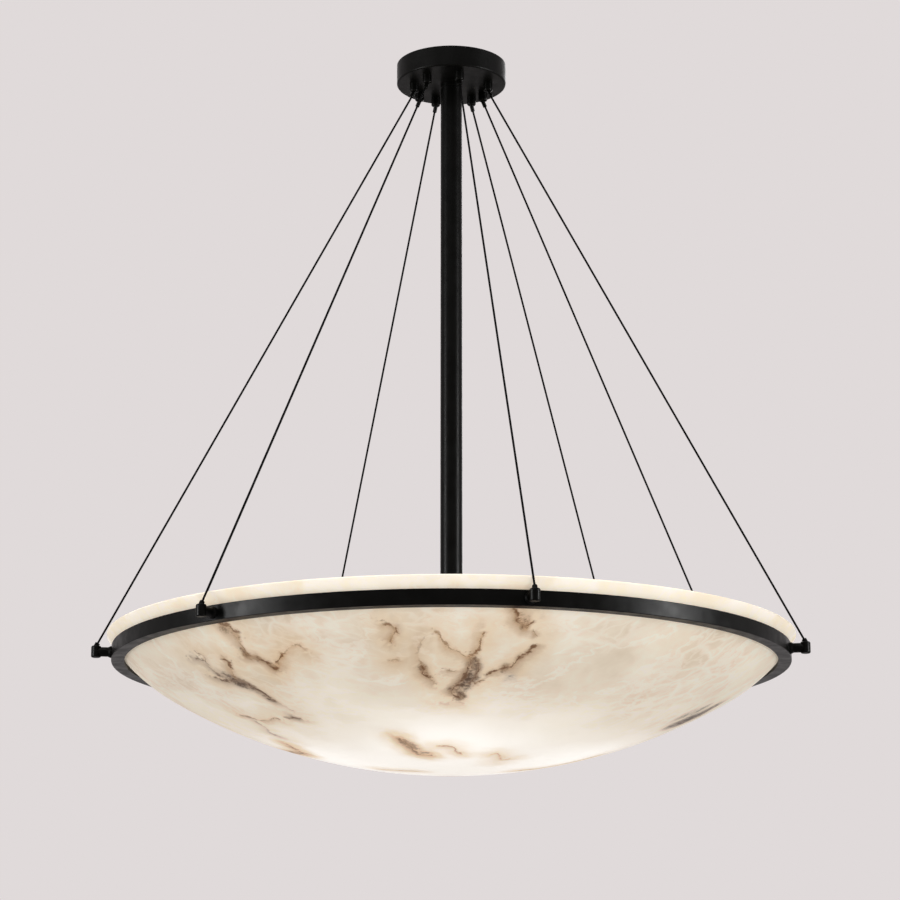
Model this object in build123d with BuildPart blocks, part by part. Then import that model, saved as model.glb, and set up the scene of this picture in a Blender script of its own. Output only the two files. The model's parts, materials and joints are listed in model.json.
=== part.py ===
from build123d import *
import os
from math import acos, atan2, cos, degrees, hypot, radians, sin, sqrt

# Bowl pendant light. A ceiling canopy carries a centre stem with a lamp cluster at its lower end,
# and a ring that hangs on taut cables holds the bowl round the lamps.
# Millimetres, +Z up. The origin is on the lamp's axis at the ceiling, so heights below it are negative.

# Ceiling canopy
CANOPY_D = 153.0
CANOPY_H = 29.0
CANOPY_WALL = 1.5
CANOPY_EDGE_R = 2.0

# Ceiling strap inside the canopy, with slots for the box screws
STRAP_L = 116.0
STRAP_W = 22.0
STRAP_T = 2.5
STRAP_DROP = 8.0
STRAP_MIDDLE_L = 40.0
STRAP_SLOPE_L = 9.0
STRAP_BEND_R = 3.0
STRAP_CORNER_R = 4.0
BOX_SCREW_SPACING = 88.9
BOX_SLOT_L = 12.0
BOX_SLOT_W = 5.0

# Threaded nipples and their nuts
NIPPLE_D = 10.0
NIPPLE_BORE = 7.0
NIPPLE_TOP_GAP = 1.5
NIPPLE_NUT_AF = 17.0
NIPPLE_NUT_T = 5.0
THREAD_PLAY = 0.1
HOLE_PLAY = 0.2

# Centre stem
STEM_D = 30.0
STEM_WALL = 1.5
BUSH_H = 5.0
BUSH_SPIGOT_L = 15.0
BUSH_THREAD_L = 17.0
SPIGOT_PLAY = 0.1
EDGE_BREAK = 0.8

# Bowl: a wide crown arc at the bottom runs into a tighter flank arc, which leans out at the rim
BOWL_D = 917.0
BOWL_DEPTH = 175.0
BOWL_FLANK_R = 250.0
BOWL_RIM_LEAN = 34.6
BOWL_WALL = 7.0
BOWL_RIM_R = 1.0

# Ring of angle section under the bowl's flank
RING_DROP = 856.0
RING_H = 19.5
RING_T = 2.5
RING_SEAT_T = 5.0
RING_BAND_GAP = 2.2
RING_EDGE_R = 0.8
BOWL_RIM_RISE = 16.0
BOWL_SEAT_GAP = 0.3

# Cables and their places round the axis, counted from +X towards +Y
CABLE_ANGLES = (32, 57, 115, 149, 188, 230, 282, 348)
CABLE_D = 2.8
CABLE_RIM_GAP = 3.0
CABLE_PLAY = 0.3
END_PLAY = 0.3

# Cable grips under the canopy
GRIP_R = 52.5
GRIP_D = 12.5
GRIP_H = 13.0
GRIP_EDGE_R = 2.5
GRIP_SHANK_D = 8.0
GRIP_SHANK_L = 10.0
GRIP_NUT_AF = 13.0
GRIP_NUT_T = 5.0
PLUNGER_D = 5.6
PLUNGER_IN = 3.5
PLUNGER_OUT = 9.0
PLUNGER_TRAVEL = 2.0
PLUNGER_END_ROOM = 0.4
PLUNGER_PLAY = 0.3
PLUNGER_LIP_R = 0.9

# Posts on the ring, each with an upright barrel at its end, and the stud that ends each cable in its barrel
POST_D = 12.5
POST_FOOT_D = 15.5
POST_FOOT_T = 1.2
POST_FLARE_L = 3.0
BARREL_D = 13.0
BARREL_H = 15.5
BARREL_EDGE_R = 2.0
STUD_D = 6.5
STUD_IN = 4.6
STUD_OUT = 4.2
STUD_SOCKET_L = 6.5
STUD_EDGE_R = 0.8
STUD_PLAY = 0.1
POST_SCREW_D = 5.0
POST_SCREW_L = 16.0
POST_SCREW_HEAD_D = 8.5
POST_SCREW_HEAD_H = 2.3
POST_SCREW_SEAT_GAP = 0.05

# Lamp cluster at the stem's lower end
CLUSTER_BELOW_RING = 2.0
CLUSTER_D = 86.0
CLUSTER_H = 40.0
CLUSTER_WALL = 2.5
CLUSTER_EDGE_R = 4.0
CLUSTER_NECK_L = 15.0
COVER_T = 2.0
COVER_DISH = 9.0
COVER_DISH_R = 75.0
COVER_RIM_W = 6.0
ROD_IN_NECK = 12.0
ROD_IN_FINIAL = 8.0
FINIAL_D = 22.0
FINIAL_FOOT_D = 16.0
FINIAL_FOOT_H = 4.0

# Lampholders and bulbs, which lie level round the cluster
LAMP_COUNT = 4
LAMP_NIPPLE_IN = 6.0
LAMP_NIPPLE_SEAT = 8.0
HOLDER_GAP = 0.3
HOLDER_BOSS_D = 20.0
HOLDER_BOSS_L = 10.0
HOLDER_D = 38.0
HOLDER_L = 52.0
HOLDER_SHOULDER_L = 9.0
HOLDER_BORE_D = 27.6
HOLDER_BORE_L = 29.0
CAP_D = 26.0
CAP_L = 28.0
CAP_CONE_L = 5.0
CAP_CONTACT_D = 9.0
CAP_CONTACT_L = 1.6
CAP_BASE_D = 20.0
CAP_FLOOR_GAP = 0.3
BULB_D = 60.0
BULB_NECK_D = 26.0
BULB_NECK_R = 45.0
BULB_WALL = 1.0

# Heights of the main planes
ring_z = -RING_DROP
ring_top_z = ring_z + RING_H
rim_z = ring_top_z + BOWL_RIM_RISE
post_z = ring_z + RING_H / 2
post_top_z = post_z + BARREL_H / 2
canopy_floor_z = -CANOPY_H + CANOPY_WALL
strap_under_z = -STRAP_DROP - STRAP_T
grip_mouth_z = -CANOPY_H - GRIP_H
stem_top_z = -CANOPY_H - BUSH_H
cluster_top_z = ring_z - CLUSTER_BELOW_RING
cluster_foot_z = cluster_top_z - CLUSTER_H
lamp_z = cluster_top_z - CLUSTER_H / 2
finial_top_z = cluster_foot_z - COVER_T - COVER_DISH

# Centres of the bowl's two arcs: the flank arc ends at the rim with its lean,
# and the crown arc touches the flank arc and passes through the bowl's lowest point
flank_r = BOWL_D / 2 - BOWL_FLANK_R * cos(radians(BOWL_RIM_LEAN))
flank_z = rim_z + BOWL_FLANK_R * sin(radians(BOWL_RIM_LEAN))
bowl_foot_z = rim_z - BOWL_DEPTH
flank_rise = flank_z - bowl_foot_z
crown_r = (flank_r**2 + flank_rise**2 - BOWL_FLANK_R**2) / (2 * (flank_rise - BOWL_FLANK_R))
crown_z = bowl_foot_z + crown_r
crown_turn = atan2(flank_r, crown_z - flank_z)


def bowl_radius(z):
    """Radius of the bowl's outer face at a height on its flank."""
    return flank_r + sqrt(BOWL_FLANK_R**2 - (flank_z - z) ** 2)


# The ring's two legs are set off from the bowl's flank
ring_seat_r = bowl_radius(ring_z + RING_SEAT_T) + BOWL_SEAT_GAP
ring_band_r = bowl_radius(ring_top_z) + RING_BAND_GAP
ring_r = ring_band_r + RING_T

# A cable runs straight from its grip's mouth past the rim to the top of its post's barrel
cable_slope = (BOWL_D / 2 + CABLE_RIM_GAP - GRIP_R) / (grip_mouth_z - rim_z)
cable_foot_r = GRIP_R + cable_slope * (grip_mouth_z - post_top_z)
cable_run = hypot(cable_foot_r - GRIP_R, grip_mouth_z - post_top_z)
plunger_bore_l = PLUNGER_IN + PLUNGER_TRAVEL + PLUNGER_END_ROOM
cable_low = STUD_OUT - STUD_SOCKET_L + END_PLAY
cable_high = cable_run + plunger_bore_l - END_PLAY
post_flare_r = ring_r + POST_FOOT_T + POST_FLARE_L
screw_seat_r = ring_band_r - POST_SCREW_SEAT_GAP

nipple_hole_r = NIPPLE_D / 2 + HOLE_PLAY
nipple_thread_r = NIPPLE_D / 2 + THREAD_PLAY
spigot_r = STEM_D / 2 - STEM_WALL - SPIGOT_PLAY


def outward(angle):
    """Level unit vector that points away from the lamp's axis."""
    return Vector(1, 0, 0).rotate(Axis.Z, angle)


def radial_plane(angle, z=0):
    """Upright plane through the lamp's axis: its x runs outward and its y runs up."""
    return Plane(origin=(0, 0, z), x_dir=outward(angle), z_dir=outward(angle - 90))


def across_plane(angle, radius, z):
    """Upright plane square to the outward direction, at a radius and a height."""
    return Plane(origin=outward(angle) * radius + Vector(0, 0, z), z_dir=outward(angle))


def cable_plane(angle, along):
    """Plane square to a cable, at a distance up along it from the top of its barrel."""
    foot = outward(angle) * cable_foot_r + Vector(0, 0, post_top_z)
    mouth = outward(angle) * GRIP_R + Vector(0, 0, grip_mouth_z)
    upward = (mouth - foot).normalized()
    return Plane(origin=foot + upward * along, z_dir=upward)


def bowl_arcs(inset):
    """Draws the bowl's crown and flank arcs, set in from its outer face, from the axis up to the rim."""
    rim_turn = degrees(acos((flank_z - rim_z) / (BOWL_FLANK_R - inset)))
    start_turn = degrees(crown_turn)
    crown = CenterArc((0, crown_z), crown_r - inset, -90, start_turn)
    flank = CenterArc((flank_r, flank_z), BOWL_FLANK_R - inset, start_turn - 90, rim_turn - start_turn)
    return crown, flank


def end_circle(piece, centre):
    """The round edge of a piece that lies nearest a point."""
    return piece.edges().filter_by(GeomType.CIRCLE).sort_by_distance(centre)[0]


def save(piece, name):
    """Names a finished piece and writes its file."""
    piece.part.label = name
    export_step(piece.part, f"parts/{name}.step")


os.makedirs("parts", exist_ok=True)

# Canopy: a spun cup, open at the ceiling
with BuildPart() as canopy:
    with BuildSketch(Plane.XY.offset(-CANOPY_H)):
        Circle(CANOPY_D / 2)
    extrude(amount=CANOPY_H)
    fillet(canopy.edges().group_by(Axis.Z)[0], CANOPY_EDGE_R)
    offset(amount=-CANOPY_WALL, openings=canopy.faces().sort_by(Axis.Z)[-1])
    with BuildSketch(Plane.XY.offset(-CANOPY_H)):
        Circle(nipple_hole_r)
        for angle in CABLE_ANGLES:
            with Locations(outward(angle) * GRIP_R):
                Circle(GRIP_SHANK_D / 2 + HOLE_PLAY)
    extrude(amount=CANOPY_WALL, mode=Mode.SUBTRACT)
save(canopy, "canopy")

# Ceiling strap: bent flat bar with two slots and a hole for the nipple
with BuildPart() as mounting_bracket:
    slope_foot = STRAP_MIDDLE_L / 2
    slope_head = slope_foot + STRAP_SLOPE_L
    with BuildSketch(Plane.XZ):
        with BuildLine():
            FilletPolyline(
                (-STRAP_L / 2, 0),
                (-slope_head, 0),
                (-slope_foot, -STRAP_DROP),
                (slope_foot, -STRAP_DROP),
                (slope_head, 0),
                (STRAP_L / 2, 0),
                radius=STRAP_BEND_R,
            )
            offset(amount=STRAP_T, side=Side.RIGHT)
        make_face()
    extrude(amount=STRAP_W / 2, both=True)
    strap_corners = mounting_bracket.edges().filter_by(Axis.Z)
    fillet(strap_corners, STRAP_CORNER_R)
    with BuildSketch(Plane.XY):
        with GridLocations(BOX_SCREW_SPACING, 0, 2, 1):
            SlotOverall(BOX_SLOT_L, BOX_SLOT_W)
    extrude(amount=-STRAP_T, mode=Mode.SUBTRACT)
    with BuildSketch(Plane.XY.offset(-STRAP_DROP)):
        Circle(nipple_hole_r)
    extrude(amount=-STRAP_T, mode=Mode.SUBTRACT)
save(mounting_bracket, "mounting_bracket")

# Stem nipple: threaded pipe from the strap through the canopy into the stem's bush
with BuildPart() as stem_nipple:
    with BuildSketch(Plane.XY.offset(-CANOPY_H - BUSH_THREAD_L)):
        Circle(NIPPLE_D / 2)
        Circle(NIPPLE_BORE / 2, mode=Mode.SUBTRACT)
    extrude(amount=CANOPY_H + BUSH_THREAD_L - NIPPLE_TOP_GAP)
save(stem_nipple, "stem_nipple")

# Nuts on the nipple: above and below the strap, and on the canopy's floor
with BuildPart() as nipple_nuts:
    for nut_z in (-STRAP_DROP, strap_under_z - NIPPLE_NUT_T, canopy_floor_z):
        with BuildSketch(Plane.XY.offset(nut_z)):
            RegularPolygon(NIPPLE_NUT_AF / 2, 6, major_radius=False)
            Circle(nipple_thread_r, mode=Mode.SUBTRACT)
        extrude(amount=NIPPLE_NUT_T)
save(nipple_nuts, "nipple_nuts")

# Stem bush: turned collar under the canopy with a spigot in the tube
with BuildPart() as stem_top_bush:
    with BuildSketch(Plane.XY.offset(stem_top_z)):
        Circle(STEM_D / 2)
    extrude(amount=BUSH_H)
    chamfer(stem_top_bush.edges().group_by(Axis.Z)[0], EDGE_BREAK)
    with BuildSketch(Plane.XY.offset(stem_top_z - BUSH_SPIGOT_L)):
        Circle(spigot_r)
    extrude(amount=BUSH_SPIGOT_L)
    with BuildSketch(Plane.XY.offset(stem_top_z - BUSH_SPIGOT_L)):
        Circle(nipple_thread_r)
    extrude(amount=BUSH_SPIGOT_L + BUSH_H, mode=Mode.SUBTRACT)
save(stem_top_bush, "stem_top_bush")

# Stem tube
with BuildPart() as stem_tube:
    with BuildSketch(Plane.XY.offset(cluster_top_z)):
        Circle(STEM_D / 2)
        Circle(STEM_D / 2 - STEM_WALL, mode=Mode.SUBTRACT)
    extrude(amount=stem_top_z - cluster_top_z)
    chamfer(stem_tube.edges().group_by(Axis.Z)[-1].sort_by(SortBy.RADIUS)[-1], EDGE_BREAK)
save(stem_tube, "stem_tube")

# Cluster body: cup with its mouth down, and a neck in the stem
with BuildPart() as cluster_body:
    with BuildSketch(Plane.XY.offset(cluster_foot_z)):
        Circle(CLUSTER_D / 2)
    extrude(amount=CLUSTER_H)
    fillet(cluster_body.edges().group_by(Axis.Z)[-1], CLUSTER_EDGE_R)
    offset(amount=-CLUSTER_WALL, openings=cluster_body.faces().sort_by(Axis.Z)[0])
    with BuildSketch(Plane.XY.offset(cluster_top_z)):
        Circle(spigot_r)
    extrude(amount=CLUSTER_NECK_L)
    with BuildSketch(Plane.XY.offset(cluster_top_z - CLUSTER_WALL)):
        Circle(nipple_thread_r)
    extrude(amount=CLUSTER_WALL + CLUSTER_NECK_L, mode=Mode.SUBTRACT)
    for lamp in range(LAMP_COUNT):
        lamp_angle = lamp * 360 / LAMP_COUNT
        with BuildSketch(across_plane(lamp_angle, 0, lamp_z)):
            Circle(nipple_hole_r)
        extrude(amount=CLUSTER_D, mode=Mode.SUBTRACT)
save(cluster_body, "cluster_body")

# Cluster cover: dished lid with a flat rim under the body's edge
with BuildPart() as cluster_cover:
    dish_r = CLUSTER_D / 2 - COVER_RIM_W
    with BuildSketch(Plane.XZ):
        with BuildLine():
            dish_foot = (nipple_hole_r, cluster_foot_z - COVER_DISH)
            inner = RadiusArc((dish_r, cluster_foot_z), dish_foot, COVER_DISH_R)
            outer = RadiusArc(inner @ 1 - (0, COVER_T), inner @ 0 - (0, COVER_T), -COVER_DISH_R)
            Line(inner @ 1, outer @ 0)
            rim_foot = (CLUSTER_D / 2, cluster_foot_z - COVER_T)
            Polyline(outer @ 1, rim_foot, (CLUSTER_D / 2, cluster_foot_z), inner @ 0)
        make_face()
    revolve(axis=Axis.Z)
save(cluster_cover, "cluster_cover")

# Cluster rod: threaded pipe from the neck through the cover into the finial
with BuildPart() as cluster_rod:
    with BuildSketch(Plane.XY.offset(finial_top_z - ROD_IN_FINIAL)):
        Circle(NIPPLE_D / 2)
        Circle(NIPPLE_BORE / 2, mode=Mode.SUBTRACT)
    extrude(amount=cluster_top_z + ROD_IN_NECK - finial_top_z + ROD_IN_FINIAL)
save(cluster_rod, "cluster_rod")

# Finial: turned ball on a foot, which holds the cover up
with BuildPart() as finial:
    with BuildSketch(Plane.XY.offset(finial_top_z)):
        Circle(FINIAL_FOOT_D / 2)
    extrude(amount=-FINIAL_FOOT_H)
    ball_sink = sqrt((FINIAL_D / 2) ** 2 - (FINIAL_FOOT_D / 2) ** 2)
    with Locations((0, 0, finial_top_z - FINIAL_FOOT_H - ball_sink)):
        Sphere(FINIAL_D / 2)
    with BuildSketch(Plane.XY.offset(finial_top_z)):
        Circle(nipple_thread_r)
    extrude(amount=-ROD_IN_FINIAL - END_PLAY, mode=Mode.SUBTRACT)
save(finial, "finial")

# Socket nipples: short threaded pipes through the cluster's wall into the lampholders
with BuildPart() as socket_nipples:
    for lamp in range(LAMP_COUNT):
        lamp_angle = lamp * 360 / LAMP_COUNT
        with BuildSketch(across_plane(lamp_angle, CLUSTER_D / 2 - LAMP_NIPPLE_IN, lamp_z)):
            Circle(NIPPLE_D / 2)
            Circle(NIPPLE_BORE / 2, mode=Mode.SUBTRACT)
        extrude(amount=LAMP_NIPPLE_IN + HOLDER_GAP + LAMP_NIPPLE_SEAT)
save(socket_nipples, "socket_nipples")

# Lampholders and bulbs, drawn along each lamp's own axis from the holder's base
holder_r = CLUSTER_D / 2 + HOLDER_GAP
shoulder_foot = holder_r + HOLDER_BOSS_L
shoulder_head = shoulder_foot + HOLDER_SHOULDER_L
holder_mouth = holder_r + HOLDER_L
bore_floor = holder_mouth - HOLDER_BORE_L
cap_foot = bore_floor + CAP_FLOOR_GAP
cap_cone = cap_foot + CAP_CONTACT_L
cap_shell = cap_cone + CAP_CONE_L
cap_top = cap_foot + CAP_L
neck_turn = acos((BULB_NECK_D / 2 + BULB_NECK_R) / (BULB_D / 2 + BULB_NECK_R))
glass_tip = cap_top + (BULB_D / 2 + BULB_NECK_R) * sin(neck_turn) + BULB_D / 2
for lamp in range(LAMP_COUNT):
    lamp_angle = lamp * 360 / LAMP_COUNT
    lamp_axis = Axis((0, 0, lamp_z), outward(lamp_angle))

    with BuildPart() as lampholder:
        with BuildSketch(radial_plane(lamp_angle, lamp_z)):
            with BuildLine():
                boss_r = HOLDER_BOSS_D / 2
                boss = Polyline((holder_r, 0), (holder_r, boss_r), (shoulder_foot, boss_r))
                shoulder_h = HOLDER_D / 2 - boss_r
                shoulder = EllipticalCenterArc((shoulder_head, boss_r), HOLDER_SHOULDER_L, shoulder_h, 90)
                Polyline(
                    shoulder @ 0,
                    (holder_mouth, HOLDER_D / 2),
                    (holder_mouth, HOLDER_BORE_D / 2),
                    (bore_floor, HOLDER_BORE_D / 2),
                    (bore_floor, 0),
                    boss @ 0,
                )
            make_face()
        revolve(axis=lamp_axis)
        with BuildSketch(across_plane(lamp_angle, holder_r, lamp_z)):
            Circle(nipple_thread_r)
        extrude(amount=LAMP_NIPPLE_SEAT + END_PLAY, mode=Mode.SUBTRACT)
    save(lampholder, f"lampholder_{lamp + 1}")

    with BuildPart() as bulb_cap:
        with BuildSketch(radial_plane(lamp_angle, lamp_z)):
            with BuildLine():
                Polyline(
                    (cap_foot, 0),
                    (cap_foot, CAP_CONTACT_D / 2),
                    (cap_cone, CAP_CONTACT_D / 2),
                    (cap_cone, CAP_BASE_D / 2),
                    (cap_shell, CAP_D / 2),
                    (cap_top, CAP_D / 2),
                    (cap_top, 0),
                    close=True,
                )
            make_face()
        revolve(axis=lamp_axis)
    save(bulb_cap, f"bulb_cap_{lamp + 1}")

    with BuildPart() as bulb_glass:
        with BuildSketch(radial_plane(lamp_angle, lamp_z)):
            with BuildLine():
                crown = JernArc((glass_tip, 0), (0, 1), BULB_D / 2, 90 + degrees(neck_turn))
                neck = JernArc(crown @ 1, crown % 1, BULB_NECK_R, -degrees(neck_turn))
                Polyline(neck @ 1, (cap_top, 0), crown @ 0)
            make_face()
        revolve(axis=lamp_axis)
        neck_centre = outward(lamp_angle) * cap_top + Vector(0, 0, lamp_z)
        offset(amount=-BULB_WALL, openings=bulb_glass.faces().sort_by_distance(neck_centre)[0])
    save(bulb_glass, f"bulb_glass_{lamp + 1}")

# Support ring: angle-section hoop with a screw hole for each post
with BuildPart() as support_ring:
    with BuildSketch(Plane.XZ):
        with BuildLine():
            Polyline(
                (ring_seat_r, ring_z),
                (ring_r, ring_z),
                (ring_r, ring_top_z),
                (ring_band_r, ring_top_z),
                (ring_band_r, ring_z + RING_SEAT_T),
                (ring_seat_r, ring_z + RING_SEAT_T),
                close=True,
            )
        make_face()
    revolve(axis=Axis.Z)
    ring_circles = support_ring.edges().filter_by(GeomType.CIRCLE)
    fillet(ring_circles.sort_by(SortBy.RADIUS)[-2:], RING_EDGE_R)
    for angle in CABLE_ANGLES:
        with BuildSketch(across_plane(angle, ring_band_r - RING_T, post_z)):
            Circle(POST_SCREW_D / 2 + HOLE_PLAY)
        extrude(amount=3 * RING_T, mode=Mode.SUBTRACT)
save(support_ring, "support_ring")

# Bowl: turned shell with a rounded rim
with BuildPart() as bowl:
    with BuildSketch(Plane.XZ):
        with BuildLine():
            outer_crown, outer_flank = bowl_arcs(0)
            inner_crown, inner_flank = bowl_arcs(BOWL_WALL)
            Line(outer_flank @ 1, inner_flank @ 1)
            Line(inner_crown @ 0, outer_crown @ 0)
        make_face()
    revolve(axis=Axis.Z)
    rim_edges = bowl.edges().filter_by(GeomType.CIRCLE).group_by(Axis.Z)[-1]
    fillet(rim_edges, BOWL_RIM_R)
save(bowl, "bowl")

# Screws in the ring's channel, one behind each post
with BuildPart() as post_screws:
    for angle in CABLE_ANGLES:
        with BuildSketch(across_plane(angle, screw_seat_r, post_z)):
            Circle(POST_SCREW_HEAD_D / 2)
        extrude(amount=-POST_SCREW_HEAD_H)
        with BuildSketch(across_plane(angle, screw_seat_r, post_z)):
            Circle(POST_SCREW_D / 2)
        extrude(amount=POST_SCREW_L)
save(post_screws, "post_screws")

# Studs swaged on the cables' lower ends, screwed into the posts' barrels
with BuildPart() as cable_end_studs:
    for angle in CABLE_ANGLES:
        with BuildSketch(cable_plane(angle, -STUD_IN)):
            Circle(STUD_D / 2)
        extrude(amount=STUD_IN + STUD_OUT)
        stud_top = cable_plane(angle, STUD_OUT)
        fillet(end_circle(cable_end_studs, stud_top.origin), STUD_EDGE_R)
        with BuildSketch(stud_top):
            Circle(CABLE_D / 2 + STUD_PLAY)
        extrude(amount=-STUD_SOCKET_L, mode=Mode.SUBTRACT)
save(cable_end_studs, "cable_end_studs")

# Nuts on the grips' shanks, inside the canopy
with BuildPart() as grip_nuts:
    for angle in CABLE_ANGLES:
        with BuildSketch(Plane.XY.offset(canopy_floor_z)):
            with Locations(outward(angle) * GRIP_R):
                RegularPolygon(GRIP_NUT_AF / 2, 6, major_radius=False)
                Circle(GRIP_SHANK_D / 2 + THREAD_PLAY, mode=Mode.SUBTRACT)
        extrude(amount=GRIP_NUT_T)
save(grip_nuts, "grip_nuts")

# One grip, plunger, cable and post for each place round the axis
for number, angle in enumerate(CABLE_ANGLES, start=1):
    with BuildPart() as cable_grip:
        with BuildSketch(Plane.XY.offset(grip_mouth_z)):
            with Locations(outward(angle) * GRIP_R):
                Circle(GRIP_D / 2)
        extrude(amount=GRIP_H)
        fillet(cable_grip.edges().group_by(Axis.Z)[0], GRIP_EDGE_R)
        with BuildSketch(Plane.XY.offset(-CANOPY_H)):
            with Locations(outward(angle) * GRIP_R):
                Circle(GRIP_SHANK_D / 2)
        extrude(amount=GRIP_SHANK_L)
        with BuildSketch(cable_plane(angle, cable_run - PLUNGER_OUT)):
            Circle(PLUNGER_D / 2 + PLUNGER_PLAY)
        extrude(amount=PLUNGER_OUT + plunger_bore_l, mode=Mode.SUBTRACT)
    save(cable_grip, f"cable_grip_{number}")

    with BuildPart() as grip_plunger:
        plunger_nose = cable_plane(angle, cable_run - PLUNGER_OUT)
        with BuildSketch(plunger_nose):
            Circle(PLUNGER_D / 2)
        extrude(amount=PLUNGER_OUT + PLUNGER_IN)
        fillet(end_circle(grip_plunger, plunger_nose.origin), PLUNGER_LIP_R)
        with BuildSketch(plunger_nose):
            Circle(CABLE_D / 2 + CABLE_PLAY)
        extrude(amount=PLUNGER_OUT + PLUNGER_IN, mode=Mode.SUBTRACT)
    save(grip_plunger, f"grip_plunger_{number}")

    with BuildPart() as cable:
        with BuildSketch(cable_plane(angle, cable_low)):
            Circle(CABLE_D / 2)
        extrude(amount=cable_high - cable_low)
    save(cable, f"cable_{number}")

    with BuildPart() as cable_post:
        with BuildSketch(Plane.XY.offset(post_z - BARREL_H / 2)):
            with Locations(outward(angle) * cable_foot_r):
                Circle(BARREL_D / 2)
        extrude(amount=BARREL_H)
        fillet(cable_post.edges().filter_by(GeomType.CIRCLE), BARREL_EDGE_R)
        with BuildSketch(radial_plane(angle, post_z)):
            with BuildLine():
                Polyline(
                    (ring_r, 0),
                    (ring_r, POST_FOOT_D / 2),
                    (ring_r + POST_FOOT_T, POST_FOOT_D / 2),
                    (post_flare_r, POST_D / 2),
                    (cable_foot_r, POST_D / 2),
                    (cable_foot_r, 0),
                    close=True,
                )
            make_face()
        revolve(axis=Axis((0, 0, post_z), outward(angle)))
        with BuildSketch(cable_plane(angle, -STUD_IN - END_PLAY)):
            Circle(STUD_D / 2 + STUD_PLAY)
        extrude(amount=STUD_IN + STUD_OUT + END_PLAY, mode=Mode.SUBTRACT)
        with BuildSketch(across_plane(angle, ring_r, post_z)):
            Circle(POST_SCREW_D / 2 + THREAD_PLAY)
        extrude(amount=POST_SCREW_L - RING_T + END_PLAY, mode=Mode.SUBTRACT)
    save(cable_post, f"cable_post_{number}")
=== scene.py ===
import json
import math
import random

import bpy
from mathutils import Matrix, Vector


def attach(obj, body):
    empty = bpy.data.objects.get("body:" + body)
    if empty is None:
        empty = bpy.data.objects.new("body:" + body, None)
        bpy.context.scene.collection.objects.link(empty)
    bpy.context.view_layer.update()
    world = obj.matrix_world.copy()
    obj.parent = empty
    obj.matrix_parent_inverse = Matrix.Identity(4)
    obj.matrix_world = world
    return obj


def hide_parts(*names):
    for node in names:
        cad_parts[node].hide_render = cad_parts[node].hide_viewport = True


# Looks of the bowl pendant light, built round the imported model. Metres, +Z up, origin at the ceiling.

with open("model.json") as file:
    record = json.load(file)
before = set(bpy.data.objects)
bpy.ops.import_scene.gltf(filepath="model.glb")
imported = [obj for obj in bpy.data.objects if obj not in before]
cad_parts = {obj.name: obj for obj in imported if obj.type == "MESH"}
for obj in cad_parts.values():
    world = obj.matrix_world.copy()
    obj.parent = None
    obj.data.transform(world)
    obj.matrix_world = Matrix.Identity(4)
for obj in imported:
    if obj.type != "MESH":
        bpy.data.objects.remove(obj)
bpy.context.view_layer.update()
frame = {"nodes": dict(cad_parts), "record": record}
NODES = frame["nodes"]
SLOT_OF = {row["node"]: row["material_slot"] for row in frame["record"]["subparts"]}
FIXTURE = "fixture"
MM = 0.001

# Camera, fitted to the photograph's 900 by 900 frame
CAMERA_PLACE = (-0.0019, -3.630, -1.4563)
CAMERA_PITCH = 13.91
CAMERA_LENS = 109.92
SENSOR = 36.0

# Cables, as the part's source places them: (radius, height) of a cable's line at its post and at its grip
CABLE_ANGLES = (32, 57, 115, 149, 188, 230, 282, 348)
CABLE_D = 2.8 * MM
CABLE_FOOT = (470.957 * MM, -838.5 * MM)
CABLE_MOUTH = (52.5 * MM, -42.0 * MM)
CABLE_IN_STUD = 2.0 * MM
CABLE_IN_GRIP = 5.6 * MM
ROPE_STRANDS = 6
ROPE_LAY = 19.0 * MM
ROPE_GROOVE = 0.1
ROPE_SIDES = 24
ROPE_STEPS = 280

# Bowl's arcs, as the part's source draws them
BOWL_R = 458.5 * MM
BOWL_RIM_Z = -820.5 * MM
BOWL_DEPTH = 175.0 * MM
FLANK_R = 250.0 * MM
RIM_LEAN = math.radians(34.6)
BOWL_WALL = 7.0 * MM
BOWL_RIM_R = 1.0 * MM
BOWL_SIDES = 480
CROWN_STEPS = 96
FLANK_STEPS = 24
RIM_STEPS = 5

# Lamps
LAMP_COUNT = 4
LAMP_Z = -878.0 * MM
LAMP_GLOBE_R = 142.0 * MM

# Threads, as (crest radius, pitch, depth), and the pieces that carry them, as the part's source places them
PIPE_THREAD = (5.0 * MM, 1.0 * MM, 0.5 * MM)
PIPE_BORE_R = 3.5 * MM
PIPE_ENDS = (-46.0 * MM, -1.5 * MM)
NUT_H = 5.0 * MM
NUT_CHAMFER = math.radians(30)
NUT_CHAMFER_STEPS = 4
NUT_FACE = 0.96
NUT_SINK = 0.5 * MM
HEX_HALF = math.pi / 6
PIPE_NUT_AF = 17.0 * MM
PIPE_NUT_THREAD = (5.1 * MM, 1.0 * MM, 0.4 * MM)
PIPE_NUT_FEET = (-8.0 * MM, -15.5 * MM, -27.5 * MM)
GRIP_NUT_AF = 13.0 * MM
GRIP_NUT_THREAD = (4.1 * MM, 1.0 * MM, 0.4 * MM)
GRIP_NUT_FOOT = -27.5 * MM
CAP_THREAD = (13.0 * MM, 3.6 * MM, 1.0 * MM)
CAP_FOOT, CAP_CONE, CAP_SHELL, CAP_TOP = 66.6 * MM, 68.2 * MM, 73.2 * MM, 94.6 * MM
CAP_BASE_R = 10.0 * MM
CAP_CONTACT_R = 4.5 * MM
CAP_TIP_R = 0.2 * MM
CAP_LIP = 0.6 * MM
CAP_ARC_STEPS = 8
LINER_THREAD = (13.15 * MM, 3.6 * MM, 0.4 * MM)
LINER_T = 0.15 * MM
LINER_ENDS = (69.0 * MM, 94.9 * MM)
THREAD_SIDES = 48
THREAD_STEPS = 8

# Edges that turn by more than this are shaded sharp
SHARP_TURN = math.radians(35)

scene = bpy.context.scene
scene.view_settings.view_transform = "Standard"


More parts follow.
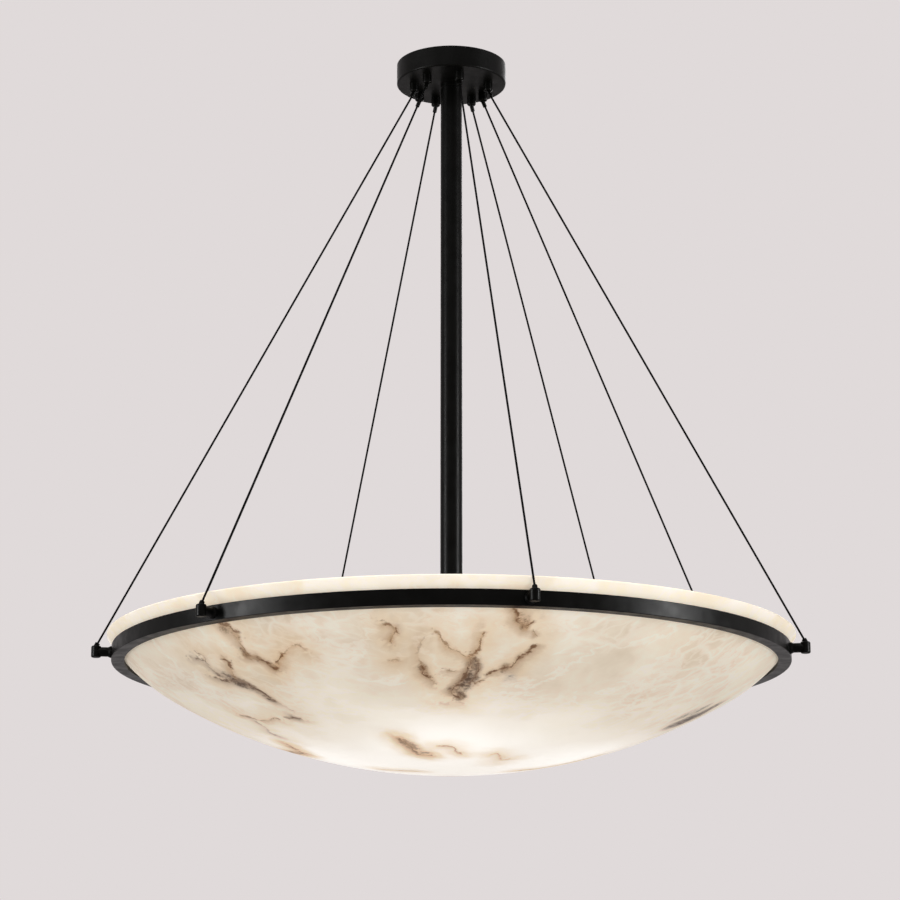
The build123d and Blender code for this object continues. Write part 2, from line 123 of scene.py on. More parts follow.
def outward(angle):
    """Level unit vector away from the lamp's axis, at an angle in degrees from +X towards +Y."""
    turn = math.radians(angle)
    return Vector((math.cos(turn), math.sin(turn), 0))


def on_radius(angle, radius, height):
    """Point at a distance from the lamp's axis and a height."""
    return outward(angle) * radius + Vector((0, 0, height))


def add_object(name, data):
    """Puts new data into the scene under a name."""
    made = bpy.data.objects.new(name, data)
    scene.collection.objects.link(made)
    return made


def add_mesh(name, points, faces):
    """Mesh object from points and faces, shaded smooth but for its sharp edges."""
    mesh = bpy.data.meshes.new(name)
    mesh.from_pydata([tuple(p) for p in points], [], faces)
    mesh.validate()
    mesh.polygons.foreach_set("use_smooth", [True] * len(mesh.polygons))
    mesh.set_sharp_from_angle(angle=SHARP_TURN)
    mesh.update()
    return add_object(name, mesh)


def ring_faces(rings, sides, closed=False):
    """Faces that join rings of points, one ring after another, and the last to the first if closed."""
    faces = []
    for row in range(rings if closed else rings - 1):
        low = row * sides
        high = (row + 1) % rings * sides
        for k in range(sides):
            n = (k + 1) % sides
            faces.append((low + k, low + n, high + n, high + k))
    return faces


def lathe(name, profile, sides):
    """Turned solid from a profile of (radius, height) points that starts and ends on the axis."""
    points = [Vector((0, 0, profile[0][1]))]
    for radius, height in profile[1:-1]:
        points += [on_radius(360 * k / sides, radius, height) for k in range(sides)]
    points.append(Vector((0, 0, profile[-1][1])))
    rings = len(profile) - 2
    last = len(points) - 1
    faces = [tuple(1 + n for n in face) for face in ring_faces(rings, sides)]
    for k in range(sides):
        n = (k + 1) % sides
        faces.append((0, 1 + n, 1 + k))
        faces.append((last, last - sides + k, last - sides + n))
    return add_mesh(name, points, faces)


def rounded(before, corner, after, radius, steps):
    """Points of an arc that rounds a corner of a profile."""
    a = (Vector(before) - Vector(corner)).normalized()
    b = (Vector(after) - Vector(corner)).normalized()
    half = a.angle(b) / 2
    centre = Vector(corner) + (a + b).normalized() * (radius / math.sin(half))
    start = Vector(corner) + a * (radius / math.tan(half)) - centre
    end = Vector(corner) + b * (radius / math.tan(half)) - centre
    return [tuple(centre + start.slerp(end, k / steps).normalized() * radius) for k in range(steps + 1)]


class Paint:
    """One procedural material. An input is a plain value or another node's output."""

    def __init__(self, name):
        self.material = bpy.data.materials.new(name)
        self.material.use_nodes = True
        self.tree = self.material.node_tree
        self.shader = self.tree.nodes["Principled BSDF"]
        self.place = self.node("ShaderNodeTexCoord").outputs["Object"]

    def node(self, kind, inputs=None, **settings):
        """New node with its settings made and its inputs fed."""
        made = self.tree.nodes.new(kind)
        for key, value in settings.items():
            setattr(made, key, value)
        for key, value in (inputs or {}).items():
            self.feed(made.inputs[key], value)
        return made

    def feed(self, socket, value):
        """Links an output to a socket, or sets the socket to a plain value."""
        if isinstance(value, bpy.types.NodeSocket):
            self.tree.links.new(value, socket)
        else:
            socket.default_value = value

    def set(self, **values):
        """Feeds the shader's sockets; a socket's name has _ for a space."""
        for key, value in values.items():
            self.feed(self.shader.inputs[key.replace("_", " ")], value)

    def noise(self, scale, detail, rough, place=None):
        """Noise of a scale per metre, at the object's own place or a shifted one."""
        inputs = {"Vector": place or self.place, "Scale": scale, "Detail": detail, "Roughness": rough}
        return self.node("ShaderNodeTexNoise", inputs)

    def grain(self, scale, detail, rough, place=None):
        """Noise as a value, mostly between 0.3 and 0.7."""
        return self.noise(scale, detail, rough, place).outputs[0]

    def sway(self, scale, detail, rough, place=None):
        """Noise as a value about 0."""
        return self.math("SUBTRACT", self.grain(scale, detail, rough, place), 0.5)

    def cells(self, scale, place):
        """Distance to the edge of the nearest of many cells."""
        inputs = {"Vector": place, "Scale": scale}
        made = self.node("ShaderNodeTexVoronoi", inputs, feature="DISTANCE_TO_EDGE")
        return made.outputs["Distance"]

    def math(self, operation, a, b=0.0):
        """One sum on two values."""
        return self.node("ShaderNodeMath", {0: a, 1: b}, operation=operation).outputs[0]

    def times(self, *factors):
        """Product of two or more values."""
        product = factors[0]
        for factor in factors[1:]:
            product = self.math("MULTIPLY", product, factor)
        return product

    def vector(self, operation, a, b):
        """One sum on two vectors."""
        return self.node("ShaderNodeVectorMath", {0: a, 1: b}, operation=operation).outputs[0]

    def scaled(self, a, factor):
        """Vector or colour times a value."""
        return self.node("ShaderNodeVectorMath", {0: a, "Scale": factor}, operation="SCALE").outputs[0]

    def shift(self, place, scale, reach):
        """Place moved about by a noise of that scale, by up to about half the reach."""
        wobble = self.vector("SUBTRACT", self.noise(scale, 2.0, 0.5, place).outputs[1], (0.5, 0.5, 0.5))
        return self.vector("ADD", place, self.scaled(wobble, reach))

    def stretch(self, scale):
        """The object's own place with each axis scaled."""
        return self.vector("MULTIPLY", self.place, scale)

    def fade(self, value, start, end, low=0.0, high=1.0):
        """Smooth step of a value from low at start to high at end."""
        inputs = {"Value": value, "From Min": start, "From Max": end, "To Min": low, "To Max": high}
        return self.node("ShaderNodeMapRange", inputs, interpolation_type="SMOOTHSTEP").outputs[0]

    def mix(self, share, a, b):
        """Colour between a at share 0 and b at share 1."""
        made = self.node("ShaderNodeMix", {0: share, 6: a, 7: b}, data_type="RGBA")
        return made.outputs[2]

    def tint(self, base, mask, share, tone):
        """Base colour with that share of a tone laid over it where the mask is 1."""
        return self.mix(self.times(mask, share), base, tone)

    def stored(self, name):
        """Value stored on the mesh's points."""
        return self.node("ShaderNodeAttribute", attribute_name=name).outputs["Fac"]

    def bump(self, height, strength, distance):
        """Normal of a skin of that height."""
        inputs = {"Height": height, "Strength": strength, "Distance": distance}
        return self.node("ShaderNodeBump", inputs).outputs[0]


def rgb(red, green, blue):
    """Colour from sRGB values of 0 to 255."""
    def linear(value):
        share = value / 255
        return share / 12.92 if share <= 0.04045 else ((share + 0.055) / 1.055) ** 2.4
    return (linear(red), linear(green), linear(blue), 1.0)


def powder_black(name, dark, light, rough):
    """Satin black paint: a faint mottle, a fine orange-peel skin and tiny pale specks."""
    paint = Paint(name)
    cloud = paint.grain(22, 4, 0.6)
    speck = paint.fade(paint.grain(1900, 2, 0.5), 0.66, 0.78)
    tone = paint.mix(paint.fade(cloud, 0.3, 0.7), dark, light)
    skin = paint.grain(620, 3, 0.55)
    ripple = paint.grain(140, 2, 0.5)
    height = paint.math("ADD", skin, paint.times(ripple, 1.5))
    paint.set(
        Base_Color=paint.tint(tone, speck, 0.25, rgb(62, 60, 58)),
        Roughness=paint.fade(paint.grain(60, 3, 0.5), 0.25, 0.75, rough - 0.05, rough + 0.07),
        Specular_IOR_Level=0.04,
        Normal=paint.bump(height, 0.10, 0.00035),
    )
    return paint.material


def cable_black():
    """Black coated wire rope: dull jacket with fine scuffs along the strands."""
    paint = Paint("cable_black")
    scuff = paint.fade(paint.grain(900, 3, 0.6), 0.55, 0.8)
    paint.set(
        Base_Color=paint.tint(rgb(7, 7, 7), scuff, 0.5, rgb(30, 30, 29)),
        Roughness=paint.fade(scuff, 0, 1, 0.5, 0.65),
        Specular_IOR_Level=0.02,
        Normal=paint.bump(paint.grain(1500, 2, 0.5), 0.15, 0.0001),
    )
    return paint.material


# Stone's tones: its body, pale web and rim, and the white of places that the lamps light through; the rim's
# pale tone and that white are painted light
STONE_DIM, STONE_PALE, STONE_TAN = rgb(216, 201, 178), rgb(235, 226, 207), rgb(222, 204, 174)
WEB_PALE = rgb(250, 244, 233)
RIM_PAINTED_LIGHT, RIM_TAN = rgb(244, 236, 221), rgb(222, 200, 164)
PAINTED_LIT_LIGHT, PAINTED_LIT_SKIN = rgb(255, 253, 247), rgb(250, 249, 246)
# Marks' tones, each as its grey and its brown, and the share of it that is laid over the stone
HALO_TONES, HALO_SHARE = (rgb(214, 196, 170), rgb(224, 190, 144)), 0.74
SMUDGE_TONES, SMUDGE_SHARE = (rgb(156, 140, 126), rgb(194, 148, 98)), 0.82
SMOKE_TONES, SMOKE_SHARE = (rgb(146, 132, 122), rgb(186, 148, 106)), 0.62
CORE_TONES, CORE_SHARE = (rgb(62, 51, 45), rgb(100, 65, 36)), 0.92
SMEAR_TONES, SMEAR_SHARE = (rgb(164, 147, 132), rgb(196, 152, 102)), 0.5
CRACK_TONES, CRACK_SHARE = (rgb(82, 67, 57), rgb(124, 80, 42)), 0.92
# Distances from a vein's line, in metres: how far a mark reaches, where smoke starts on its one side,
# where smoke and cracks fade out, and a crack's half width
HALO_REACH, SMOKE_REACH, SMEAR_REACH = 0.042, 0.020, 0.0075
SMOKE_START = (-0.0015, 0.0008)
SMOKE_GONE = (0.024, 0.010)
CRACK_GONE = (0.0105, 0.0055)
CRACK_WIDTHS = (0.0007, 0.0042)
# How far noise moves a halo's edge and a line, in metres, and how much it breaks up a smudge's core
HALO_RAG, LINE_RAG, LINE_CRUMB = 0.034, 0.014, 0.010
CORE_RAG = 1.5
# Glow at which painted white starts and ends to rise, and the share of white at both, in the emitted light and
# on the skin's colour
PAINTED_LIT_LIGHT_GLOW = (0.30, 0.6, 0.0, 0.85)
PAINTED_LIT_SKIN_GLOW = (0.40, 0.68, 0.0, 0.9)


def stone_body(paint, soft, cloud):
    """Cloudy cream with tan patches, a torn pale web and a mottled rim painted paler, as light through the lip.
    """
    torn = paint.shift(paint.shift(paint.stretch((0.6, 1, 1)), 30, 0.03), 110, 0.008)
    body = paint.mix(cloud, STONE_DIM, STONE_PALE)
    tan = paint.fade(paint.grain(5.5, 3, 0.5), 0.52, 0.75)
    body = paint.tint(body, tan, 0.3, STONE_TAN)

    wisp = paint.fade(paint.math("ABSOLUTE", paint.sway(12, 7, 0.62, torn)), 0.04, 0.0)
    web = paint.fade(paint.cells(24, torn), 0.11, 0.0)
    fine_web = paint.fade(paint.cells(55, torn), 0.14, 0.0)
    patch = paint.fade(paint.grain(8, 2, 0.5), 0.32, 0.62)
    nets = paint.times(paint.math("MAXIMUM", web, paint.times(fine_web, 0.6)), patch)
    pale = paint.math("MAXIMUM", paint.times(nets, 0.36), paint.times(wisp, 0.34))
    body = paint.mix(pale, body, WEB_PALE)

    rim = paint.stored("rim")
    mottle = paint.times(paint.fade(paint.grain(20, 4, 0.6, soft), 0.42, 0.68), rim)
    # The lip is painted paler, standing in for the lamps' light through the thin rim
    body = paint.tint(body, rim, 0.35, RIM_PAINTED_LIGHT)
    return paint.tint(body, mottle, 0.55, RIM_TAN)


def stone_marks(paint, soft, body):
    """The body with halos, smudges, smoke and cracks over it, and how strongly each place is marked."""
    gap, ink, warm = paint.stored("vein_gap"), paint.stored("vein_ink"), paint.stored("vein_warm")
    blot, blot_warm = paint.stored("blot"), paint.stored("blot_warm")
    sure = paint.stored("vein_sure")
    ragged = paint.sway(46, 6, 0.66, soft)
    crumb = paint.sway(150, 5, 0.7)
    jitter = paint.math("ADD", paint.times(ragged, LINE_RAG), paint.times(crumb, LINE_CRUMB))
    line = paint.math("ADD", paint.stored("vein_side"), jitter)
    beside = paint.math("ABSOLUTE", line)

    halo = paint.fade(paint.math("ADD", gap, paint.times(ragged, HALO_RAG)), HALO_REACH, 0.0)
    halo = paint.times(halo, ink)
    body = paint.tint(body, halo, HALO_SHARE, paint.mix(warm, *HALO_TONES))

    smudge = paint.fade(paint.math("ADD", blot, ragged), 0.03, 1.05)
    smudge = paint.times(smudge, paint.fade(blot, 0.02, 0.2))
    body = paint.tint(body, smudge, SMUDGE_SHARE, paint.mix(blot_warm, *SMUDGE_TONES))

    smoke = paint.times(paint.fade(line, SMOKE_REACH, 0.0), paint.fade(line, *SMOKE_START))
    smoke = paint.times(smoke, paint.times(paint.fade(gap, *SMOKE_GONE), ink), sure)
    body = paint.tint(body, smoke, SMOKE_SHARE, paint.mix(warm, *SMOKE_TONES))

    core = paint.math("ADD", blot, paint.times(paint.math("ADD", ragged, crumb), CORE_RAG))
    core = paint.times(paint.fade(core, 0.44, 1.1), paint.fade(blot, 0.12, 0.45))
    body = paint.tint(body, core, CORE_SHARE, paint.mix(blot_warm, *CORE_TONES))

    near = paint.times(paint.fade(gap, *CRACK_GONE), paint.fade(ink, 0.1, 0.8), sure)
    smear = paint.times(paint.fade(beside, SMEAR_REACH, 0.0), near)
    body = paint.tint(body, smear, SMEAR_SHARE, paint.mix(warm, *SMEAR_TONES))

    broken = paint.fade(paint.grain(60, 4, 0.6), 0.36, 0.54)
    thick = paint.fade(paint.grain(40, 3, 0.55), 0.38, 0.66, *CRACK_WIDTHS)
    crack = paint.fade(paint.math("DIVIDE", beside, thick), 1.0, 0.2)
    crack = paint.times(crack, paint.times(broken, near))
    body = paint.tint(body, crack, CRACK_SHARE, paint.mix(warm, *CRACK_TONES))
    return body, paint.math("MAXIMUM", paint.math("MAXIMUM", smudge, smear), halo)


def alabaster():
    """Cream translucent stone, its glow from the lamps inside painted on as emission and whiter colour; its
    grey and brown marks keep their colour in that painted light.
    """
    paint = Paint("alabaster")
    soft = paint.shift(paint.place, 9, 0.07)
    cloud = paint.fade(paint.grain(9, 5, 0.58, soft), 0.32, 0.70)
    body, mark = stone_marks(paint, soft, stone_body(paint, soft, cloud))
    # Painted light: the stored glow whitens the base colour and is sent out as emission, so the bowl glows
    # though it is no lamp
    glow = paint.stored("glow")
    plain = paint.fade(mark, 0.0, 0.7, 1.0, 0.1)
    light = paint.tint(body, paint.fade(glow, *PAINTED_LIT_LIGHT_GLOW), plain, PAINTED_LIT_LIGHT)
    paint.set(
        Base_Color=paint.tint(body, paint.fade(glow, *PAINTED_LIT_SKIN_GLOW), plain, PAINTED_LIT_SKIN),
        Roughness=paint.fade(cloud, 0, 1, 0.42, 0.54),
        Specular_IOR_Level=0.08,
        Emission_Color=paint.scaled(light, glow),
        Emission_Strength=1.0,
        Normal=paint.bump(paint.grain(45, 3, 0.5, soft), 0.05, 0.002),
    )
    return paint.material


def zinc_steel():
    """Zinc-plated steel: bluish bright coat with a faint drawn grain and dull patches."""
    paint = Paint("zinc_steel")
    drawn = paint.grain(1.0, 4, 0.6, paint.stretch((60, 900, 900)))
    patch = paint.fade(paint.grain(70, 4, 0.6), 0.35, 0.7)
    paint.set(
        Base_Color=paint.mix(patch, rgb(178, 180, 184), rgb(206, 205, 198)),
        Metallic=1.0,
        Roughness=paint.fade(patch, 0, 1, 0.26, 0.42),
        Normal=paint.bump(drawn, 0.12, 0.0002),
    )
    return paint.material


def porcelain():
    """White glazed porcelain with a warm mottle and a few kiln specks under a clear glaze."""
    paint = Paint("porcelain")
    mottle = paint.fade(paint.grain(60, 3, 0.5), 0.3, 0.7)
    kiln = paint.fade(paint.grain(420, 2, 0.5), 0.74, 0.80)
    tone = paint.mix(mottle, rgb(222, 217, 205), rgb(236, 233, 225))
    paint.set(
        Base_Color=paint.tint(tone, kiln, 0.5, rgb(168, 150, 128)),
        Roughness=paint.fade(mottle, 0, 1, 0.14, 0.24),
        Coat_Weight=0.5,
        Coat_Roughness=0.06,
        Normal=paint.bump(paint.grain(90, 2, 0.5), 0.06, 0.0008),
    )
    return paint.material


def cap_metal(name, low, high):
    """Rolled thin metal with handling marks in its gloss."""
    paint = Paint(name)
    marks = paint.fade(paint.grain(180, 4, 0.65), 0.35, 0.7)
    paint.set(
        Base_Color=paint.mix(marks, low, high),
        Metallic=1.0,
        Roughness=paint.fade(marks, 0, 1, 0.2, 0.38),
        Normal=paint.bump(paint.grain(700, 2, 0.5), 0.06, 0.0002),
    )
    return paint.material


def cap_insulator():
    """Black vitreous insulator at a bulb cap's foot."""
    paint = Paint("cap_insulator")
    swirl = paint.grain(300, 3, 0.6)
    paint.set(
        Base_Color=paint.mix(swirl, rgb(16, 14, 18), rgb(44, 36, 42)),
        Roughness=paint.fade(swirl, 0.3, 0.7, 0.12, 0.26),
    )
    return paint.material


# Distance from the lamp's axis at a bulb's neck and globe, and how bright the bulb is there
BULB_SHINE = (92.0 * MM, 135.0 * MM, 0.35, 1.0)


def frosted_glass():
    """Lit frosted bulb: satin skin, brightest on the globe and dimmer towards the neck."""
    paint = Paint("bulb_glass")
    axis = paint.node("ShaderNodeSeparateXYZ", {0: paint.place})
    along_x, along_y = (paint.math("ABSOLUTE", axis.outputs[k]) for k in range(2))
    shine = paint.fade(paint.math("MAXIMUM", along_x, along_y), *BULB_SHINE)
    mist = paint.fade(paint.grain(130, 3, 0.5), 0.3, 0.7, 0.9, 1.0)
    tone = paint.mix(shine, rgb(255, 206, 142), rgb(255, 234, 198))
    paint.set(
        Base_Color=paint.mix(mist, rgb(226, 222, 212), rgb(242, 239, 232)),
        Roughness=paint.fade(mist, 0.9, 1.0, 0.34, 0.46),
        Emission_Color=paint.scaled(tone, paint.times(shine, mist)),
        Emission_Strength=0.5,
        Normal=paint.bump(paint.grain(1400, 2, 0.5), 0.1, 0.0001),
    )
    return paint.material


PAINTS = {
    "black_steel": powder_black("black_steel", rgb(4, 4, 3), rgb(8, 8, 7), 0.34),
    "canopy_black": powder_black("canopy_black", rgb(6, 6, 5), rgb(10, 10, 9), 0.38),
    "cable_black": cable_black(),
    "alabaster": alabaster(),
    "zinc_steel": zinc_steel(),
    "porcelain": porcelain(),
    "bulb_brass": cap_metal("bulb_brass", rgb(196, 172, 118), rgb(222, 202, 152)),
    "bulb_glass": frosted_glass(),
}
SOLDER = cap_metal("cap_solder", rgb(150, 150, 152), rgb(190, 190, 188))
INSULATOR = cap_insulator()

for node_name, node_object in NODES.items():
    node_object.data.materials.clear()
    node_object.data.materials.append(PAINTS[SLOT_OF[node_name]])


def finish_piece(piece, body, slot, *nodes):
    """Paints a new piece, hangs it on its body and hides the nodes it stands for."""
    if not piece.data.materials:
        piece.data.materials.append(PAINTS[slot])
    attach(piece, body)
    if nodes:
        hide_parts(*nodes)


# Camera
camera_data = bpy.data.cameras.new("photo_camera")
camera_data.sensor_width = SENSOR
camera_data.lens = CAMERA_LENS
camera = add_object("photo_camera", camera_data)
camera.location = CAMERA_PLACE
camera.rotation_euler = (math.radians(90 + CAMERA_PITCH), 0, 0)
scene.camera = camera


def route_line(name, points, steps):
    """Points along a smooth line through a route, read from its own spline."""
    curve = bpy.data.curves.new(name, "CURVE")
    curve.dimensions = "3D"
    spline = curve.splines.new("NURBS")
    spline.points.add(len(points) - 1)
    for control, point in zip(spline.points, points):
        control.co = (*point, 1)
    spline.order_u = 3
    spline.use_endpoint_u = True
    spline.resolution_u = steps
    guide = add_object(name, curve)
    mesh = bpy.data.meshes.new_from_object(guide)
    line = [v.co.copy() for v in mesh.vertices]
    bpy.data.objects.remove(guide)
    bpy.data.curves.remove(curve)
    bpy.data.meshes.remove(mesh)
    return line


def wire_rope(name, line):
    """Rope of laid strands along a straight line, closed at both ends."""
    along = (line[-1] - line[0]).normalized()
    across = along.cross(Vector((0, 0, 1))).normalized()
    other = along.cross(across)
    points = []
    for place in line:
        lay = 2 * math.pi * (place - line[0]).length / ROPE_LAY
        for k in range(ROPE_SIDES):
            turn = 2 * math.pi * k / ROPE_SIDES
            groove = (0.5 - 0.5 * math.cos(ROPE_STRANDS * (turn - lay))) ** 3
            radius = CABLE_D / 2 * (1 - ROPE_GROOVE * groove)
            points.append(place + across * radius * math.cos(turn) + other * radius * math.sin(turn))
    faces = ring_faces(len(line), ROPE_SIDES)
    faces.append(tuple(reversed(range(ROPE_SIDES))))
    faces.append(tuple(range(len(points) - ROPE_SIDES, len(points))))
    return add_mesh(name, points, faces)


# Cables: taut wire ropes from the grips to the posts
for number, angle in enumerate(CABLE_ANGLES, start=1):
    foot = on_radius(angle, *CABLE_FOOT)
    mouth = on_radius(angle, *CABLE_MOUTH)
    upward = (mouth - foot).normalized()
    low_end = foot - upward * CABLE_IN_STUD
    high_end = mouth + upward * CABLE_IN_GRIP
    rope_line = route_line(f"route_{number}", (high_end, (high_end + low_end) / 2, low_end), ROPE_STEPS)
    rope = wire_rope(f"cable_{number}_rope", rope_line)
    finish_piece(rope, FIXTURE, "cable_black", f"cable_{number}")


def thread_dip(turn, along, pitch):
    """Depth of a thread, 0 at its crest and 1 at its root, at a turn (0 to 1) and a length along it."""
    return 1 - abs(2 * ((along / pitch - turn) % 1) - 1)


def thread_levels(low, high, pitch):
    """Even steps along a thread."""
    count = round((high - low) / pitch * THREAD_STEPS)
    return [low + (high - low) * k / count for k in range(count + 1)]


def turned_rings(rows):
    """Points and faces of a closed turned wall. A row is (height, radius or a function of the turn)."""
    points = []
    for height, radius in rows:
        for k in range(THREAD_SIDES):
            share = k / THREAD_SIDES
            points.append(on_radius(360 * share, radius(share) if callable(radius) else radius, height))
    return points, ring_faces(len(rows), THREAD_SIDES, closed=True)


def threaded_wall(thread, low, high, grow):
    """Rows of a threaded face: its crest is at the thread's radius, its roots inside or outside that."""
    crest, pitch, depth = thread
    return [(z, lambda turn, z=z: crest + grow * depth * thread_dip(turn, z, pitch))
            for z in thread_levels(low, high, pitch)]


def hex_nut(foot, across, thread):
    """Points and faces of a nut on the axis: chamfered hexagon with a countersunk, threaded hole."""
    top = foot + NUT_H
    face_r = across / 2 * NUT_FACE
    chamfer_h = (across / 2 / math.cos(HEX_HALF) - face_r) * math.tan(NUT_CHAMFER)

    def side(depth):
        def radius(turn):
            from_flat = (turn * 2 * math.pi + HEX_HALF) % (2 * HEX_HALF) - HEX_HALF
            return min(across / 2 / math.cos(from_flat), face_r + depth / math.tan(NUT_CHAMFER))
        return radius

    steps = [chamfer_h * k / NUT_CHAMFER_STEPS for k in range(NUT_CHAMFER_STEPS + 1)]
    rows = [(foot + step, side(step)) for step in steps]
    rows += [(top - step, side(step)) for step in reversed(steps)]
    rows.append((top, thread[0] + NUT_SINK))
    rows += reversed(threaded_wall(thread, foot + NUT_SINK, top - NUT_SINK, 1))
    rows.append((foot, thread[0] + NUT_SINK))
    return turned_rings(rows)


def joined(parts):
    """One list of points and one of faces from several (points, faces, place)."""
    all_points, all_faces = [], []
    for points, faces, place in parts:
        start = len(all_points)
        all_points += [p + Vector(place) for p in points]
        all_faces += [tuple(start + n for n in face) for face in faces]
    return all_points, all_faces


# Threaded pipe under the ceiling strap, and the nuts on it and on the grips
pipe_rows = threaded_wall(PIPE_THREAD, *PIPE_ENDS, -1)
pipe_rows += [(PIPE_ENDS[1], PIPE_BORE_R), (PIPE_ENDS[0], PIPE_BORE_R)]
finish_piece(add_mesh("stem_nipple_thread", *turned_rings(pipe_rows)), FIXTURE, "zinc_steel", "stem_nipple")
pipe_nuts = [(*hex_nut(foot, PIPE_NUT_AF, PIPE_NUT_THREAD), (0, 0, 0)) for foot in PIPE_NUT_FEET]
finish_piece(add_mesh("nipple_nuts_hex", *joined(pipe_nuts)), FIXTURE, "zinc_steel", "nipple_nuts")
grip_nut = hex_nut(GRIP_NUT_FOOT, GRIP_NUT_AF, GRIP_NUT_THREAD)
grip_nuts = [(*grip_nut, on_radius(angle, CABLE_MOUTH[0], 0)) for angle in CABLE_ANGLES]
finish_piece(add_mesh("grip_nuts_hex", *joined(grip_nuts)), FIXTURE, "zinc_steel", "grip_nuts")


def rolled_wall(thread, low, high, grow):
    """Rows of a thin shell's rolled, rounded thread that runs out at both ends."""
    crest, pitch, depth = thread
    rows = []
    for s in thread_levels(low, high, pitch):
        run_out = max(0.0, min(1.0, (s - low) / pitch * 2, (high - s) / pitch * 2))
        rows.append((s, lambda turn, s=s, run_out=run_out: crest + grow * run_out * depth
                     * (0.5 - 0.5 * math.cos(2 * math.pi * (s / pitch - turn)))))
    return rows


def lay_level(points, angle):
    """Points built up the Z axis, laid along a lamp's own level axis."""
    along, across = outward(angle), outward(angle + 90)
    return [along * p.z + across * p.x + Vector((0, 0, LAMP_Z + p.y)) for p in points]


def lamp_piece(name, rows, angle, body, slot, paint, *nodes):
    """Turned piece along a lamp's axis."""
    points, faces = turned_rings(rows)
    piece = add_mesh(name, lay_level(points, angle), faces)
    piece.data.materials.append(paint)
    finish_piece(piece, body, slot, *nodes)


# Bulb caps with their rolled thread, insulator and contact, and a brass liner in each lampholder
cap_neck_r = CAP_THREAD[0] - CAP_LIP
shell_rows = [(CAP_SHELL, CAP_BASE_R), (CAP_SHELL, cap_neck_r)]
shell_rows += rolled_wall(CAP_THREAD, CAP_SHELL + CAP_LIP, CAP_TOP, -1)
shell_rows.append((CAP_TOP, CAP_BASE_R))
insulator_rows = [(CAP_CONE, CAP_CONTACT_R - CAP_LIP)]
contact_rows = []
for k in range(CAP_ARC_STEPS + 1):
    turn = k / CAP_ARC_STEPS * math.pi / 2
    insulator_rows.append((CAP_CONE + (CAP_SHELL - CAP_CONE) * (1 - math.cos(turn)),
                           CAP_CONTACT_R + (cap_neck_r - CAP_CONTACT_R) * math.sin(turn)))
    contact_rows.append((CAP_CONE - (CAP_CONE - CAP_FOOT) * math.cos(turn),
                         CAP_TIP_R + (CAP_CONTACT_R - CAP_TIP_R) * math.sin(turn)))
insulator_rows.append((CAP_SHELL, CAP_CONTACT_R - CAP_LIP))
contact_rows += [(CAP_CONE + CAP_LIP, CAP_CONTACT_R), (CAP_CONE + CAP_LIP, CAP_TIP_R)]
liner_rows = rolled_wall((LINER_THREAD[0] + LINER_T, *LINER_THREAD[1:]), *LINER_ENDS, 1)
liner_rows += reversed(rolled_wall(LINER_THREAD, *LINER_ENDS, 1))
for lamp in range(LAMP_COUNT):
    number, angle = lamp + 1, 360 * lamp / LAMP_COUNT
    bulb = f"bulb_{number}"
    lamp_piece(f"{bulb}_shell", shell_rows, angle, bulb, "bulb_brass", PAINTS["bulb_brass"],
               f"bulb_cap_{number}")
    lamp_piece(f"{bulb}_insulator", insulator_rows, angle, bulb, "porcelain", INSULATOR)
    lamp_piece(f"{bulb}_contact", contact_rows, angle, bulb, "zinc_steel", SOLDER)
    lamp_piece(f"lampholder_{number}_liner", liner_rows, angle, FIXTURE, "bulb_brass", PAINTS["bulb_brass"])


# Bowl: the part's two arcs in and out, with a rounded rim
flank_r = BOWL_R - FLANK_R * math.cos(RIM_LEAN)
flank_z = BOWL_RIM_Z + FLANK_R * math.sin(RIM_LEAN)
bowl_foot_z = BOWL_RIM_Z - BOWL_DEPTH
flank_rise = flank_z - bowl_foot_z
crown_r = (flank_r**2 + flank_rise**2 - FLANK_R**2) / (2 * (flank_rise - FLANK_R))
crown_z = bowl_foot_z + crown_r
crown_turn = math.atan2(flank_r, crown_z - flank_z)


def bowl_side(inset):
    """Profile points of one face of the bowl, from the axis to the rim."""
    rim_turn = math.acos((flank_z - BOWL_RIM_Z) / (FLANK_R - inset))
    side = []
    for k in range(CROWN_STEPS):
        turn = crown_turn * k / CROWN_STEPS
        side.append(((crown_r - inset) * math.sin(turn), crown_z - (crown_r - inset) * math.cos(turn)))
    for k in range(FLANK_STEPS + 1):
        turn = crown_turn + (rim_turn - crown_turn) * k / FLANK_STEPS
        side.append((flank_r + (FLANK_R - inset) * math.sin(turn),
                     flank_z - (FLANK_R - inset) * math.cos(turn)))
    return side


outer = bowl_side(0)
inner = bowl_side(BOWL_WALL)
outer_rim = rounded(outer[-2], outer[-1], inner[-1], BOWL_RIM_R, RIM_STEPS)
inner_rim = rounded(outer[-1], inner[-1], inner[-2], BOWL_RIM_R, RIM_STEPS)
bowl_profile = outer[:-1] + outer_rim + inner_rim + inner[-2::-1]
bowl = lathe("bowl_alabaster", bowl_profile, BOWL_SIDES)

